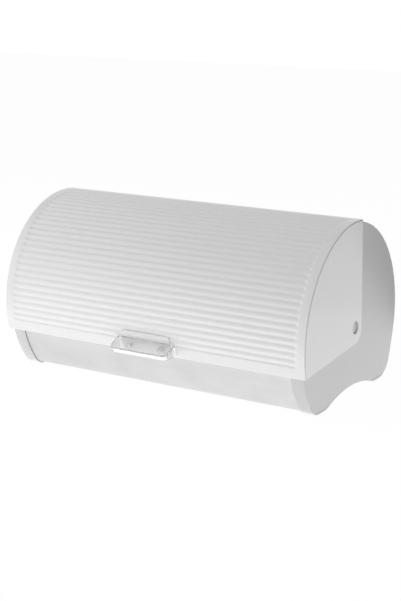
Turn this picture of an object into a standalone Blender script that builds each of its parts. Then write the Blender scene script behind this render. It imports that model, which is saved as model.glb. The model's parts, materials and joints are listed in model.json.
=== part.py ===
# Bread box: a bent metal body between two end caps, closed by a ribbed lid that swings up and back.
# Metres. X runs along the hinge axis, Y to the rear and Z up, and the box stands on Z = 0.
# Every mesh is modelled round the hinge axis and carried by an empty that lies on that axis.
# Angles about the axis are in degrees, from the rear (0) over the top (90) to the front (180).

import math

import bmesh
import bpy
from mathutils import Vector

# Fits
FIT_GAP = 0.0003            # between pieces that rest on each other
TURN_GAP = 0.0004           # between pieces that turn in each other
OVERRUN = 0.002             # how far a cutter passes the surface that it cuts

# End caps
CAP_SPAN = 0.379            # outer face to outer face
CAP_RADIUS = 0.1145         # round part, about the hinge axis
CAP_WALL = 0.003            # end wall
CAP_RIM_WIDTH = 0.0152      # rim round the end wall, along the box
CAP_RIM = 0.0032            # rim thickness
CAP_EDGE = 0.0012           # rounding of the outer edge
FOOT_DROP = 0.078           # hinge axis to the underside of the feet
FOOT_ROUND = 0.016          # outer corner of a foot
FOOT_FLAT = 0.009           # level stretch under a foot
ARCH_RISE = 0.0115          # arch between the feet
ARCH_CROWN_SHARE = 0.82     # share of the arch's curve that belongs to its crown

# Foot pads
PAD_RADIUS = 0.0045
PAD_THICKNESS = 0.002
PAD_PROUD = 0.0006

# Body shell
SHELL_SHEET = 0.0008
SHELL_FRONT_ANGLE = 190.0   # upper edge of the front panel
SHELL_REAR_ANGLE = 92.0     # upper edge of the rear wall
FRONT_RAIL = 0.008          # stiffening fold along the front edge
REAR_RAIL = 0.006
VENT_ANGLE = 30.0
VENT_RADIUS = 0.0025
VENT_PITCH = 0.016
VENT_COUNT = 9

# Shell screws
SCREW_RADIUS = 0.0015
SCREW_HEAD_RADIUS = 0.003
SCREW_HEAD = 0.0016
SCREW_SUNK = 0.0002         # head below the rim's surface
SCREW_LENGTH = 0.008
REAR_SCREW_ANGLES = (18.0, 66.0)
ARCH_SCREW_SHARES = (-0.45, 0.45)   # along the arch, from its middle to its ends

# Lid panel
LID_SHEET = 0.0008
LID_CLEARANCE = 0.0027      # cap rim to the inside of the lid panel
LID_FRONT_ANGLE = 194.6     # lower edge of the closed lid
LID_BACK_ANGLE = 83.9       # back edge of the closed lid
LID_SWING = 100.0           # from closed to open
LID_HEM = 0.0028            # inward fold along both edges
RIB_PITCH = 0.00745
RIB_DEPTH = 0.0009
FRONT_STRIP = 0.0126        # plain strip between the lower edge and the first groove
BACK_STRIP = 0.0144
LID_BORDER = 0.0115         # plain border at each end
RIB_FADE = 0.003            # length in which a groove's end runs out

# Lid cheeks
CHEEK_GAP = 0.0015          # cap face to cheek
CHEEK_THICKNESS = 0.003
CHEEK_EDGE = 0.0008
CHEEK_FACE_PROUD = 0.0006   # cheek face beyond the end of the lid panel
CHEEK_HUB_ROUND = 0.015     # rounded corner below the hinge
CHEEK_HUB_BACK = 0.0006     # centre of that corner behind the hinge axis
CHEEK_HUB_DROP = 0.0033     # and below it
CHEEK_BACK_CORNER = 0.004
CHEEK_FRONT_CORNER = 0.0015
FLANGE = 0.0015             # curved flange under the panel's border
FLANGE_STEP = 0.0001        # flange below the cheek's outline
FLANGE_MARGIN_ANGLE = 2.5   # flange stops short of both edges

# Hinge: the cheek's hub turns in a dish of the cap, and its lug stops at the ends of a pocket
HUB_RADIUS = 0.013
DISH_DEPTH = 0.0055
HUB_FLOOR = 0.0035
HUB_WALL = 0.003
LUG_HEIGHT = 0.003
LUG_ANGLE = 200.0
LUG_WIDTH_ANGLE = 28.0
RECESS_RADIUS = 0.007
RECESS_DEPTH = 0.0046
PIN_RADIUS = 0.0037
PIN_HEAD = 0.0016
PIN_CHAMFER = 0.0006
PIN_TAIL = 0.003            # end of the pin beyond its clip
WASHER_THICKNESS = 0.0007
WASHER_MARGIN = 0.0005      # washer inside the hub's edge
CLIP_THICKNESS = 0.001
CLIP_RADIUS = 0.008

# Handle: its places on the lid are measured along the panel, up from the closed lid's lower edge
HANDLE_WIDTH = 0.070
HANDLE_REACH = 0.017        # in front of the lid's crests
HANDLE_TOP_RISE = 0.01545   # where the hood's top meets the lid
HANDLE_DROP = 0.0095        # hood's front edge below its back edge
LIP_HEIGHT = 0.0054
HANDLE_WALL = 0.002
HANDLE_CORNER = 0.0035
PLATE_WIDTH = 0.060
PLATE_THICKNESS = 0.002
PLATE_TOP_RISE = 0.0239
PLATE_CORNER = 0.004
HANDLE_SCREW_RISE = 0.007
HANDLE_SCREW_SPACING = 0.040
HANDLE_SCREW_RADIUS = 0.002
HANDLE_SCREW_HEAD_RADIUS = 0.0037
HANDLE_SCREW_HEAD = 0.0022
HANDLE_SCREW_EDGE = 0.0008
HANDLE_BOSS_RADIUS = 0.0035
HANDLE_BOSS = 0.0045        # boss in front of the back plate
HANDLE_BOSS_FLOOR = 0.001
HANDLE_WASHER_RADIUS = 0.0042
HANDLE_WASHER = 0.0006

# Lid bumpers
BUMPER_INSET = 0.0243       # from the end cap's rim
BUMPER_RISE = 0.005         # above the lid's lower edge
BUMPER_RADIUS = 0.0038
BUMPER_EDGE = 0.0006

# Section of the box: places of the arcs that make its outline
foot_z = FOOT_ROUND - FOOT_DROP
foot_y = math.sqrt((CAP_RADIUS - FOOT_ROUND) ** 2 - foot_z ** 2)
foot_tangent = math.degrees(math.atan2(-foot_z, foot_y))
arch_end = foot_y - FOOT_FLAT
arch_slope = 2 * math.degrees(math.atan2(ARCH_RISE, arch_end))
arch_curve = arch_end / math.sin(math.radians(arch_slope))
arch_crown = arch_curve * ARCH_CROWN_SHARE
arch_toe = arch_curve - arch_crown
arch_crown_z = ARCH_RISE - FOOT_DROP - arch_crown

# Places along the box, from its middle
cap_face = CAP_SPAN / 2
cap_inside = cap_face - CAP_WALL
rim_end = cap_face - CAP_RIM_WIDTH
rim_middle = cap_face - CAP_RIM_WIDTH / 2
shell_end = cap_inside - FIT_GAP
cheek_inside = cap_face + CHEEK_GAP
cheek_face = cheek_inside + CHEEK_THICKNESS
panel_end = cheek_face - CHEEK_FACE_PROUD
rib_end = panel_end - LID_BORDER
dish_floor = cap_face - DISH_DEPTH
hub_inside = dish_floor - HUB_FLOOR
hub_end = dish_floor + WASHER_THICKNESS + 2 * FIT_GAP
recess_floor = cheek_face - RECESS_DEPTH

# Radii and angles about the hinge axis
shell_inset = CAP_RIM + FIT_GAP
shell_radius = CAP_RADIUS - shell_inset
lid_inside = CAP_RADIUS + LID_CLEARANCE
lid_radius = lid_inside + LID_SHEET
hem_radius = lid_radius - LID_HEM
cheek_radius = lid_inside - FIT_GAP
handle_back = lid_radius + FIT_GAP
handle_top_angle = LID_FRONT_ANGLE - math.degrees(HANDLE_TOP_RISE / lid_radius)
plate_top_angle = LID_FRONT_ANGLE - math.degrees(PLATE_TOP_RISE / lid_radius)
handle_screw_angle = LID_FRONT_ANGLE - math.degrees(HANDLE_SCREW_RISE / lid_radius)
bumper_angle = LID_FRONT_ANGLE - math.degrees(BUMPER_RISE / lid_radius)
dish_radius = HUB_RADIUS + TURN_GAP
lug_radius = HUB_RADIUS + LUG_HEIGHT
pocket_radius = lug_radius + TURN_GAP
bore_radius = PIN_RADIUS + FIT_GAP

# Hinge axis in the world: the box stands on its pads, and its length and depth are centred
hinge_z = FOOT_DROP + PAD_PROUD
hinge_y = (lid_radius + HANDLE_REACH - CAP_RADIUS) / 2

ARC_STEP = 3.75             # degrees between the points of the large arcs
ROUND = 32                  # points round a hub, pin or dish
SMALL_ROUND = 16            # points round a screw, pad or vent
SMOOTH_ANGLE = 35.0         # sharper edges are shaded sharp

# A bead between two grooves: places across it, and the share of it that curves inwards at each groove
BEAD_SHARES = (0.0, 0.12, 0.28, 0.5, 0.72, 0.88)
GROOVE_SHARE = 0.18


def arc(centre, radius, start, end, steps):
    # Points (y, z) along an arc, from the start angle to the end angle.
    points = []
    for step in range(steps + 1):
        turn = math.radians(start + (end - start) * step / steps)
        points.append((centre[0] + radius * math.cos(turn), centre[1] + radius * math.sin(turn)))
    return points


def long_arc(radius, start, end):
    return arc((0, 0), radius, start, end, max(1, round(abs(end - start) / ARC_STEP)))


def spot(radius, angle):
    return arc((0, 0), radius, angle, angle, 1)[0]


def section(inset, start, end):
    # Side outline of the box, that far inside the caps' own: from the start angle down the front,
    # along the front foot, the arch and the rear foot, and up the rear to the end angle.
    outer = CAP_RADIUS - inset
    corner = FOOT_ROUND - inset
    toe = arch_toe - inset
    toe_z = arch_toe - FOOT_DROP
    level = inset - FOOT_DROP
    front_end = 180 + foot_tangent
    rear_start = 360 - foot_tangent
    stretches = (
        arc((-foot_y, foot_z), corner, front_end, 270, 6),
        [(-foot_y, level), (-arch_end, level)],
        arc((-arch_end, toe_z), toe, 270, 270 + arch_slope, 3),
        arc((0, arch_crown_z), arch_crown + inset, 90 + arch_slope, 90 - arch_slope, 10),
        arc((arch_end, toe_z), toe, 270 - arch_slope, 270, 3),
        [(arch_end, level), (foot_y, level)],
        arc((foot_y, foot_z), corner, 270, rear_start, 6),
        long_arc(outer, rear_start, 360 + end),
    )
    outline = long_arc(outer, start, front_end)
    for stretch in stretches:
        outline += stretch[1:]
    return outline


def closed_section(inset):
    return section(inset, 90, 90)[:-1]


def at_x(x, outline):
    return [Vector((x, y, z)) for y, z in outline]


def turned(profile, points):
    # Rings round the X axis, one for each (x, radius) pair.
    return [at_x(x, arc((0, 0), radius, 0, 360, points)[:-1]) for x, radius in profile]


def loft(mesh, rings, place=None, closed=False):
    # Joins rings of equal counts with quads. The first and last ring are filled, or joined when closed.
    rows = []
    for ring in rings:
        rows.append([mesh.verts.new(place @ corner if place else corner) for corner in ring])
    pairs = list(zip(rows, rows[1:]))
    if closed:
        pairs.append((rows[-1], rows[0]))
    else:
        mesh.faces.new(rows[0])
        mesh.faces.new(rows[-1])
    for near, far in pairs:
        for i, j in zip(range(len(near)), [*range(1, len(near)), 0]):
            mesh.faces.new((near[i], near[j], far[j], far[i]))


def prism(mesh, outline, x_start, x_end):
    loft(mesh, [at_x(x_start, outline), at_x(x_end, outline)])


def sheet(mesh, columns):
    # A thin skin through columns of equal counts, each an (x, outline) pair. Outlines that run
    # from the top down the front, or on round the bottom to the rear, give faces that point outwards.
    rows = [[mesh.verts.new(corner) for corner in at_x(x, outline)] for x, outline in columns]
    for near, far in zip(rows, rows[1:]):
        for i in range(len(near) - 1):
            mesh.faces.new((near[i], near[i + 1], far[i + 1], far[i]))


def aimed(origin, direction):
    # Places what is modelled along the X axis at an origin, along a direction.
    turn = Vector((1, 0, 0)).rotation_difference(Vector(direction)).to_matrix().to_4x4()
    turn.translation = Vector(origin)
    return turn


def inwards(x, radius, angle):
    # A place at that radius, facing the hinge axis.
    y, z = spot(radius, angle)
    return aimed((x, y, z), (0, -y, -z))


def make_material(name, color, roughness, metallic=0.0, alpha=1.0):
    material = bpy.data.materials.new(name)
    material.use_nodes = True
    shader = material.node_tree.nodes["Principled BSDF"]
    shader.inputs["Base Color"].default_value = (*color, 1.0)
    shader.inputs["Roughness"].default_value = roughness
    shader.inputs["Metallic"].default_value = metallic
    shader.inputs["Alpha"].default_value = alpha
    return material


def make_object(name, mesh, carrier, material=None, skin=False):
    # Turns the mesh into an object. A skin keeps the way its faces point; a body is turned outwards.
    if not skin:
        bmesh.ops.recalc_face_normals(mesh, faces=mesh.faces)
    data = bpy.data.meshes.new(name)
    mesh.to_mesh(data)
    mesh.free()
    data.shade_smooth()
    data.set_sharp_from_angle(angle=math.radians(SMOOTH_ANGLE))
    if material:
        data.materials.append(material)
    piece = bpy.data.objects.new(name, data)
    piece.parent = carrier
    bpy.context.scene.collection.objects.link(piece)
    return piece


def shape(piece, name, mesh, operation):
    # Cuts a piece with a mesh, or joins the mesh to it.
    tool = make_object(f"{piece.name}_{name}", mesh, piece.parent)
    tool.hide_render = True
    tool.display_type = "WIRE"
    step = piece.modifiers.new(name, "BOOLEAN")
    step.operation = operation
    step.object = tool
    step.solver = "EXACT"


def thicken(piece, thickness):
    step = piece.modifiers.new("sheet", "SOLIDIFY")
    step.thickness = thickness
    step.offset = -1
    step.use_even_offset = True


def make_carrier(name):
    carrier = bpy.data.objects.new(name, None)
    carrier.location = (0, hinge_y, hinge_z)
    bpy.context.scene.collection.objects.link(carrier)
    return carrier


def rounded_edge(size):
    # Quarter round as (inset, depth) pairs, from the face to the side.
    turns = [math.radians(angle) for angle in (0, 45, 90)]
    return [(size * (1 - math.sin(turn)), size * (1 - math.cos(turn))) for turn in turns]


def wedge(radius, start, end):
    return [(0, 0)] + arc((0, 0), radius, start, end, max(2, round((end - start) * ROUND / 360)))


def foot_spots(side):
    # Centres of the two pads of one end cap.
    middle = foot_y - FOOT_FLAT / 2
    return [("front", (side * rim_middle, -middle)), ("rear", (side * rim_middle, middle))]


def shell_screw_places(side):
    # Heads on the rim's surface, shanks towards the inside.
    places = [inwards(side * rim_middle, CAP_RADIUS, angle) for angle in REAR_SCREW_ANGLES]
    for share in ARCH_SCREW_SHARES:
        turn = math.asin(share * arch_end / arch_crown)
        direction = (0, math.sin(turn), math.cos(turn))
        origin = (side * rim_middle, arch_crown * direction[1], arch_crown_z + arch_crown * direction[2])
        places.append(aimed(origin, direction))
    return places


def screw_hole():
    depth = CAP_RIM + FIT_GAP + SHELL_SHEET + OVERRUN
    head = SCREW_HEAD_RADIUS + FIT_GAP
    shank = SCREW_RADIUS + FIT_GAP
    return turned([(-OVERRUN, head), (SCREW_SUNK, head), (SCREW_SUNK + SCREW_HEAD, shank), (depth, shank)],
                  SMALL_ROUND)


def build_end_cap(side, label, carrier, material):
    mesh = bmesh.new()
    rings = []
    for inset, depth in rounded_edge(CAP_EDGE):
        rings.append(at_x(side * (cap_face - depth), closed_section(inset)))
    rings.append(at_x(side * rim_end, closed_section(0)))
    rings.append(at_x(side * rim_end, closed_section(CAP_RIM)))
    rings.append(at_x(side * cap_inside, closed_section(CAP_RIM)))
    loft(mesh, rings)
    cap = make_object(f"end_cap_{label}", mesh, carrier, material)

    hub = bmesh.new()
    hub_root = cap_inside + CAP_WALL / 2
    outer = pocket_radius + HUB_WALL
    loft(hub, turned([(side * hub_root, outer), (side * hub_inside, outer)], ROUND))
    shape(cap, "hub", hub, "UNION")

    dish = bmesh.new()
    loft(dish, turned([(side * (cap_face + OVERRUN), dish_radius),
                       (side * dish_floor, dish_radius),
                       (side * dish_floor, bore_radius),
                       (side * (hub_inside - OVERRUN), bore_radius)], ROUND))
    shape(cap, "dish", dish, "DIFFERENCE")

    pocket = bmesh.new()
    slack = math.degrees(TURN_GAP / HUB_RADIUS)
    low = LUG_ANGLE - LUG_WIDTH_ANGLE / 2 - LID_SWING - slack
    high = LUG_ANGLE + LUG_WIDTH_ANGLE / 2 + slack
    prism(pocket, wedge(pocket_radius, low, high), side * (dish_floor + FIT_GAP), side * (cap_face + OVERRUN))
    shape(cap, "pocket", pocket, "DIFFERENCE")

    holes = bmesh.new()
    seat = PAD_THICKNESS - PAD_PROUD + FIT_GAP
    for _, (x, y) in foot_spots(side):
        loft(holes, turned([(-OVERRUN, PAD_RADIUS + FIT_GAP), (seat, PAD_RADIUS + FIT_GAP)], SMALL_ROUND),
             aimed((x, y, -FOOT_DROP), (0, 0, 1)))
    for place in shell_screw_places(side):
        loft(holes, screw_hole(), place)
    shape(cap, "holes", holes, "DIFFERENCE")


def build_foot_pads(side, label, carrier, material):
    for end, (x, y) in foot_spots(side):
        mesh = bmesh.new()
        loft(mesh, turned([(0, PAD_RADIUS), (PAD_THICKNESS, PAD_RADIUS)], SMALL_ROUND),
             aimed((x, y, -hinge_z), (0, 0, 1)))
        make_object(f"foot_pad_{end}_{label}", mesh, carrier, material)


def build_shell_screws(side, label, carrier, material):
    head_end = SCREW_SUNK + SCREW_HEAD
    for number, place in enumerate(shell_screw_places(side), start=1):
        mesh = bmesh.new()
        loft(mesh, turned([(SCREW_SUNK, SCREW_HEAD_RADIUS), (head_end, SCREW_RADIUS),
                           (SCREW_LENGTH - SCREW_RADIUS, SCREW_RADIUS), (SCREW_LENGTH, SCREW_RADIUS / 2)],
                          SMALL_ROUND), place)
        make_object(f"shell_screw_{label}_{number}", mesh, carrier, material)


def build_body_shell(carrier, material):
    outline = section(shell_inset, SHELL_FRONT_ANGLE, SHELL_REAR_ANGLE)
    outline.insert(0, spot(shell_radius - FRONT_RAIL, SHELL_FRONT_ANGLE))
    outline.append(spot(shell_radius - REAR_RAIL, SHELL_REAR_ANGLE))
    mesh = bmesh.new()
    sheet(mesh, [(-shell_end, outline), (shell_end, outline)])
    shell = make_object("body_shell", mesh, carrier, material, skin=True)
    thicken(shell, SHELL_SHEET)

    holes = bmesh.new()
    depth = SHELL_SHEET + OVERRUN
    for i in range(VENT_COUNT):
        x = (i - (VENT_COUNT - 1) / 2) * VENT_PITCH
        loft(holes, turned([(-OVERRUN, VENT_RADIUS), (depth, VENT_RADIUS)], SMALL_ROUND),
             inwards(x, shell_radius, VENT_ANGLE))
    for side in (-1, 1):
        for place in shell_screw_places(side):
            loft(holes, screw_hole(), place)
    shape(shell, "holes", holes, "DIFFERENCE")


def build_lid_bumpers(carrier, material):
    for side, label in ((-1, "left"), (1, "right")):
        mesh = bmesh.new()
        top = hem_radius - FIT_GAP
        base = top - shell_radius - FIT_GAP
        loft(mesh, turned([(0, BUMPER_RADIUS - BUMPER_EDGE),
                           (BUMPER_EDGE, BUMPER_RADIUS),
                           (base, BUMPER_RADIUS)], SMALL_ROUND),
             inwards(side * (rim_end - BUMPER_INSET), top, bumper_angle))
        make_object(f"lid_bumper_{label}", mesh, carrier, material)


def build_pivot(side, label, carrier, pin_material, washer_material, clip_material):
    head = recess_floor + FIT_GAP
    clip = hub_inside - FIT_GAP - CLIP_THICKNESS
    tail = clip - PIN_TAIL
    head_radius = RECESS_RADIUS - TURN_GAP
    mesh = bmesh.new()
    loft(mesh, turned([(side * (head + PIN_HEAD), head_radius - PIN_CHAMFER),
                       (side * (head + PIN_HEAD - PIN_CHAMFER), head_radius), (side * head, head_radius),
                       (side * head, PIN_RADIUS), (side * (tail + PIN_CHAMFER), PIN_RADIUS),
                       (side * tail, PIN_RADIUS - PIN_CHAMFER)], ROUND))
    make_object(f"pivot_pin_{label}", mesh, carrier, pin_material)

    washer = dish_floor + FIT_GAP
    mesh = bmesh.new()
    outer = HUB_RADIUS - WASHER_MARGIN
    loft(mesh, turned([(side * washer, bore_radius), (side * washer, outer),
                       (side * (washer + WASHER_THICKNESS), outer),
                       (side * (washer + WASHER_THICKNESS), bore_radius)], ROUND), closed=True)
    make_object(f"pivot_washer_{label}", mesh, carrier, washer_material)

    mesh = bmesh.new()
    loft(mesh, turned([(side * clip, bore_radius), (side * clip, CLIP_RADIUS),
                       (side * (clip + CLIP_THICKNESS), CLIP_RADIUS),
                       (side * (clip + CLIP_THICKNESS), bore_radius)], ROUND), closed=True)
    make_object(f"pivot_clip_{label}", mesh, carrier, clip_material)


def bead_depth(share):
    # 1 at the bottom of a groove, 0 at the crest between two grooves: a wide bead, a narrower groove.
    crest = 0.5 - GROOVE_SHARE
    bend = 1 / (crest * crest + crest * GROOVE_SHARE)
    from_groove = min(share, 1 - share)
    if from_groove < GROOVE_SHARE:
        return 1 - bend * crest / GROOVE_SHARE * from_groove ** 2
    return bend * (0.5 - share) ** 2


def lid_rows():
    # (angle, groove depth, hem depth) across the lid panel, from its back edge to its front edge.
    first = LID_BACK_ANGLE + math.degrees(BACK_STRIP / lid_radius)
    last = LID_FRONT_ANGLE - math.degrees(FRONT_STRIP / lid_radius)
    beads = max(1, round(math.radians(last - first) * lid_radius / RIB_PITCH))
    pitch = (last - first) / beads
    lead = pitch * GROOVE_SHARE
    rows = [(LID_BACK_ANGLE, 0, LID_HEM), (LID_BACK_ANGLE, 0, 0), ((LID_BACK_ANGLE + first) / 2, 0, 0)]
    rows.append((first - lead, 0, 0))
    for bead in range(beads):
        rows += [(first + (bead + share) * pitch, RIB_DEPTH * bead_depth(share), 0) for share in BEAD_SHARES]
    rows += [(last, RIB_DEPTH, 0), (last + lead, 0, 0), ((LID_FRONT_ANGLE + last) / 2, 0, 0)]
    rows += [(LID_FRONT_ANGLE, 0, 0), (LID_FRONT_ANGLE, 0, LID_HEM)]
    return rows


def handle_screw_places(radius):
    # At that radius on the two handle screws' axes, facing outwards.
    y, z = spot(radius, handle_screw_angle)
    direction = (0, *spot(1, handle_screw_angle))
    return [aimed((side * HANDLE_SCREW_SPACING / 2, y, z), direction) for side in (-1, 1)]


def build_lid_panel(carrier, material):
    rows = lid_rows()
    columns = []
    for x, groove in ((-panel_end, 0), (-rib_end, 0), (RIB_FADE - rib_end, 1),
                      (rib_end - RIB_FADE, 1), (rib_end, 0), (panel_end, 0)):
        columns.append((x, [spot(lid_radius - groove * depth - hem, angle) for angle, depth, hem in rows]))
    mesh = bmesh.new()
    sheet(mesh, columns)
    panel = make_object("lid_panel", mesh, carrier, material, skin=True)
    thicken(panel, LID_SHEET)

    holes = bmesh.new()
    for place in handle_screw_places(lid_inside):
        radius = HANDLE_SCREW_RADIUS + FIT_GAP
        loft(holes, turned([(-OVERRUN, radius), (LID_SHEET + OVERRUN, radius)], SMALL_ROUND), place)
    shape(panel, "holes", holes, "DIFFERENCE")


def tangent_angle(corner, centre, radius, side):
    # Where a line from the corner touches a circle, as an angle about the circle's centre.
    away = math.degrees(math.atan2(corner[1] - centre[1], corner[0] - centre[0]))
    return (away + side * math.degrees(math.acos(radius / math.dist(corner, centre)))) % 360


def eased_corner(before, corner, after, size):
    # Replaces a corner by a curve that starts and ends that far from it.
    start = Vector(corner) + (Vector(before) - Vector(corner)).normalized() * size
    end = Vector(corner) + (Vector(after) - Vector(corner)).normalized() * size
    points = []
    for step in range(5):
        along = step / 4
        curve = start * (1 - along) ** 2 + Vector(corner) * 2 * along * (1 - along) + end * along ** 2
        points.append((curve.x, curve.y))
    return points


def cheek_outline(inset):
    # Sector with its round edge under the panel, between the panel's hems, and its point round the hinge.
    radius = cheek_radius - inset
    trim = math.degrees((LID_SHEET + FIT_GAP + inset) / radius)
    back = LID_BACK_ANGLE + trim
    front = LID_FRONT_ANGLE - trim
    hub = (CHEEK_HUB_BACK, -CHEEK_HUB_DROP)
    hub_round = CHEEK_HUB_ROUND - inset
    top = spot(radius, back)
    low = spot(radius, front)
    rear_touch = tangent_angle(top, hub, hub_round, -1)
    under_touch = tangent_angle(low, hub, hub_round, 1)
    hub_arc = arc(hub, hub_round, under_touch, rear_touch + 360, 12)
    top_ease = math.degrees(CHEEK_BACK_CORNER / radius)
    low_ease = math.degrees(CHEEK_FRONT_CORNER / radius)
    steps = round((LID_FRONT_ANGLE - LID_BACK_ANGLE) / ARC_STEP)
    outline = eased_corner(hub_arc[-1], top, spot(radius, back + top_ease), CHEEK_BACK_CORNER)
    outline += arc((0, 0), radius, back + top_ease, front - low_ease, steps)[1:-1]
    outline += eased_corner(spot(radius, front - low_ease), low, hub_arc[0], CHEEK_FRONT_CORNER)
    return outline + hub_arc


def build_lid_cheek(side, label, carrier, material):
    mesh = bmesh.new()
    rings = []
    for inset, depth in rounded_edge(CHEEK_EDGE):
        rings.append(at_x(side * (cheek_face - depth), cheek_outline(inset)))
    rings.append(at_x(side * cheek_inside, cheek_outline(0)))
    loft(mesh, rings)
    cheek = make_object(f"lid_cheek_{label}", mesh, carrier, material)
    root = cheek_inside + CHEEK_THICKNESS / 2

    flange = bmesh.new()
    outer = cheek_radius - FLANGE_STEP
    start = LID_BACK_ANGLE + FLANGE_MARGIN_ANGLE
    end = LID_FRONT_ANGLE - FLANGE_MARGIN_ANGLE
    strip = long_arc(outer, start, end) + long_arc(outer - FLANGE, end, start)
    prism(flange, strip, side * (rib_end + FIT_GAP), side * root)
    shape(cheek, "flange", flange, "UNION")

    hub = bmesh.new()
    loft(hub, turned([(side * hub_end, HUB_RADIUS), (side * root, HUB_RADIUS)], ROUND))
    shape(cheek, "hub", hub, "UNION")

    lug = bmesh.new()
    outline = wedge(lug_radius, LUG_ANGLE - LUG_WIDTH_ANGLE / 2, LUG_ANGLE + LUG_WIDTH_ANGLE / 2)
    prism(lug, outline, side * (hub_end + TURN_GAP), side * root)
    shape(cheek, "lug", lug, "UNION")

    recess = bmesh.new()
    loft(recess, turned([(side * (cheek_face + OVERRUN), RECESS_RADIUS),
                         (side * recess_floor, RECESS_RADIUS),
                         (side * recess_floor, bore_radius),
                         (side * (hub_end - OVERRUN), bore_radius)], ROUND))
    shape(cheek, "recess", recess, "DIFFERENCE")


def upright_edges(mesh, measure):
    # The edge at each end of the piece, square to its length, whose middle has the least measure.
    def middle(edge):
        return measure((edge.verts[0].co + edge.verts[1].co) / 2)
    square = [edge for edge in mesh.edges if edge.verts[0].co.x == edge.verts[1].co.x]
    ends = sorted({edge.verts[0].co.x for edge in square})
    return [min((edge for edge in square if edge.verts[0].co.x == end), key=middle) for end in ends]


def build_handle(carrier, material):
    # Hood: sloping top, front lip and two end walls, open below and at its back.
    root = handle_back + PLATE_THICKNESS / 2
    top_y, top_z = spot(root, handle_top_angle)
    front = -(lid_radius + HANDLE_REACH)
    lip_z = top_z - HANDLE_DROP
    low_z = lip_z - LIP_HEIGHT
    low_angle = 180 + math.degrees(math.asin(-low_z / root))
    slope = HANDLE_DROP / (top_y - front)
    half = HANDLE_WIDTH / 2
    back_arc = arc((0, 0), root, low_angle, handle_top_angle, 3)
    mesh = bmesh.new()
    prism(mesh, [*back_arc, (front, lip_z), (front, low_z)], -half, half)
    corners = upright_edges(mesh, lambda place: place.y)
    bmesh.ops.bevel(mesh, geom=corners, offset=HANDLE_CORNER, segments=4, profile=0.5, affect="EDGES")
    handle = make_object("lid_handle", mesh, carrier, material)

    room = bmesh.new()
    under = HANDLE_WALL * math.hypot(1, slope)
    back_y = top_y + OVERRUN + PLATE_THICKNESS
    inner_front = front + HANDLE_WALL
    prism(room, [(back_y, low_z - OVERRUN), (back_y, top_z + slope * (back_y - top_y) - under),
                 (inner_front, lip_z + slope * HANDLE_WALL - under), (inner_front, low_z - OVERRUN)],
          HANDLE_WALL - half, half - HANDLE_WALL)
    shape(handle, "room", room, "DIFFERENCE")

    plate = bmesh.new()
    face = handle_back + PLATE_THICKNESS
    strip = (arc((0, 0), handle_back, plate_top_angle, low_angle, 6)
             + arc((0, 0), face, low_angle, plate_top_angle, 6))
    prism(plate, strip, -PLATE_WIDTH / 2, PLATE_WIDTH / 2)
    corners = upright_edges(plate, lambda place: -place.z)
    bmesh.ops.bevel(plate, geom=corners, offset=PLATE_CORNER, segments=4, profile=0.5, affect="EDGES")
    shape(handle, "plate", plate, "UNION")

    bosses = bmesh.new()
    for place in handle_screw_places(handle_back):
        loft(bosses, turned([(PLATE_THICKNESS / 2, HANDLE_BOSS_RADIUS),
                             (PLATE_THICKNESS + HANDLE_BOSS, HANDLE_BOSS_RADIUS)], SMALL_ROUND), place)
    shape(handle, "bosses", bosses, "UNION")

    bores = bmesh.new()
    for place in handle_screw_places(handle_back):
        radius = HANDLE_SCREW_RADIUS + FIT_GAP
        depth = PLATE_THICKNESS + HANDLE_BOSS - HANDLE_BOSS_FLOOR
        loft(bores, turned([(-OVERRUN, radius), (depth, radius)], SMALL_ROUND), place)
    shape(handle, "bores", bores, "DIFFERENCE")


def build_handle_screws(carrier, screw_material, washer_material):
    seat = lid_inside - FIT_GAP
    head = seat - HANDLE_WASHER - FIT_GAP
    tip = handle_back + PLATE_THICKNESS + HANDLE_BOSS - HANDLE_BOSS_FLOOR - FIT_GAP
    face = head - HANDLE_SCREW_HEAD
    places = handle_screw_places(0)
    for place, label in zip(places, ("left", "right")):
        mesh = bmesh.new()
        loft(mesh, turned([(face, HANDLE_SCREW_HEAD_RADIUS - HANDLE_SCREW_EDGE),
                           (face + HANDLE_SCREW_EDGE, HANDLE_SCREW_HEAD_RADIUS),
                           (head, HANDLE_SCREW_HEAD_RADIUS),
                           (head, HANDLE_SCREW_RADIUS),
                           (tip, HANDLE_SCREW_RADIUS)], SMALL_ROUND), place)
        make_object(f"handle_screw_{label}", mesh, carrier, screw_material)

        mesh = bmesh.new()
        bore = HANDLE_SCREW_RADIUS + FIT_GAP
        loft(mesh, turned([(seat - HANDLE_WASHER, bore), (seat - HANDLE_WASHER, HANDLE_WASHER_RADIUS),
                           (seat, HANDLE_WASHER_RADIUS), (seat, bore)], SMALL_ROUND), place, closed=True)
        make_object(f"handle_washer_{label}", mesh, carrier, washer_material)


for old in list(bpy.data.objects):
    bpy.data.objects.remove(old, do_unlink=True)

lid_white = make_material("white_enamel", (0.86, 0.86, 0.86), 0.35)
cheek_white = make_material("white_plastic", (0.84, 0.84, 0.84), 0.3)
cap_grey = make_material("grey_plastic", (0.62, 0.62, 0.63), 0.4)
shell_steel = make_material("brushed_steel", (0.74, 0.74, 0.74), 0.4, metallic=1.0)
clear_acrylic = make_material("clear_acrylic", (0.9, 0.9, 0.9), 0.05, alpha=0.4)
pad_rubber = make_material("pad_rubber", (0.35, 0.35, 0.35), 0.8)
bumper_silicone = make_material("bumper_silicone", (0.8, 0.8, 0.8), 0.6)
pin_nylon = make_material("pin_nylon", (0.75, 0.75, 0.75), 0.45)
washer_nylon = make_material("washer_nylon", (0.85, 0.84, 0.8), 0.5)
screw_steel = make_material("screw_steel", (0.6, 0.6, 0.6), 0.35, metallic=1.0)

box_carrier = make_carrier("box_on_hinge_axis")
lid_carrier = make_carrier("lid_on_hinge_axis")

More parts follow.
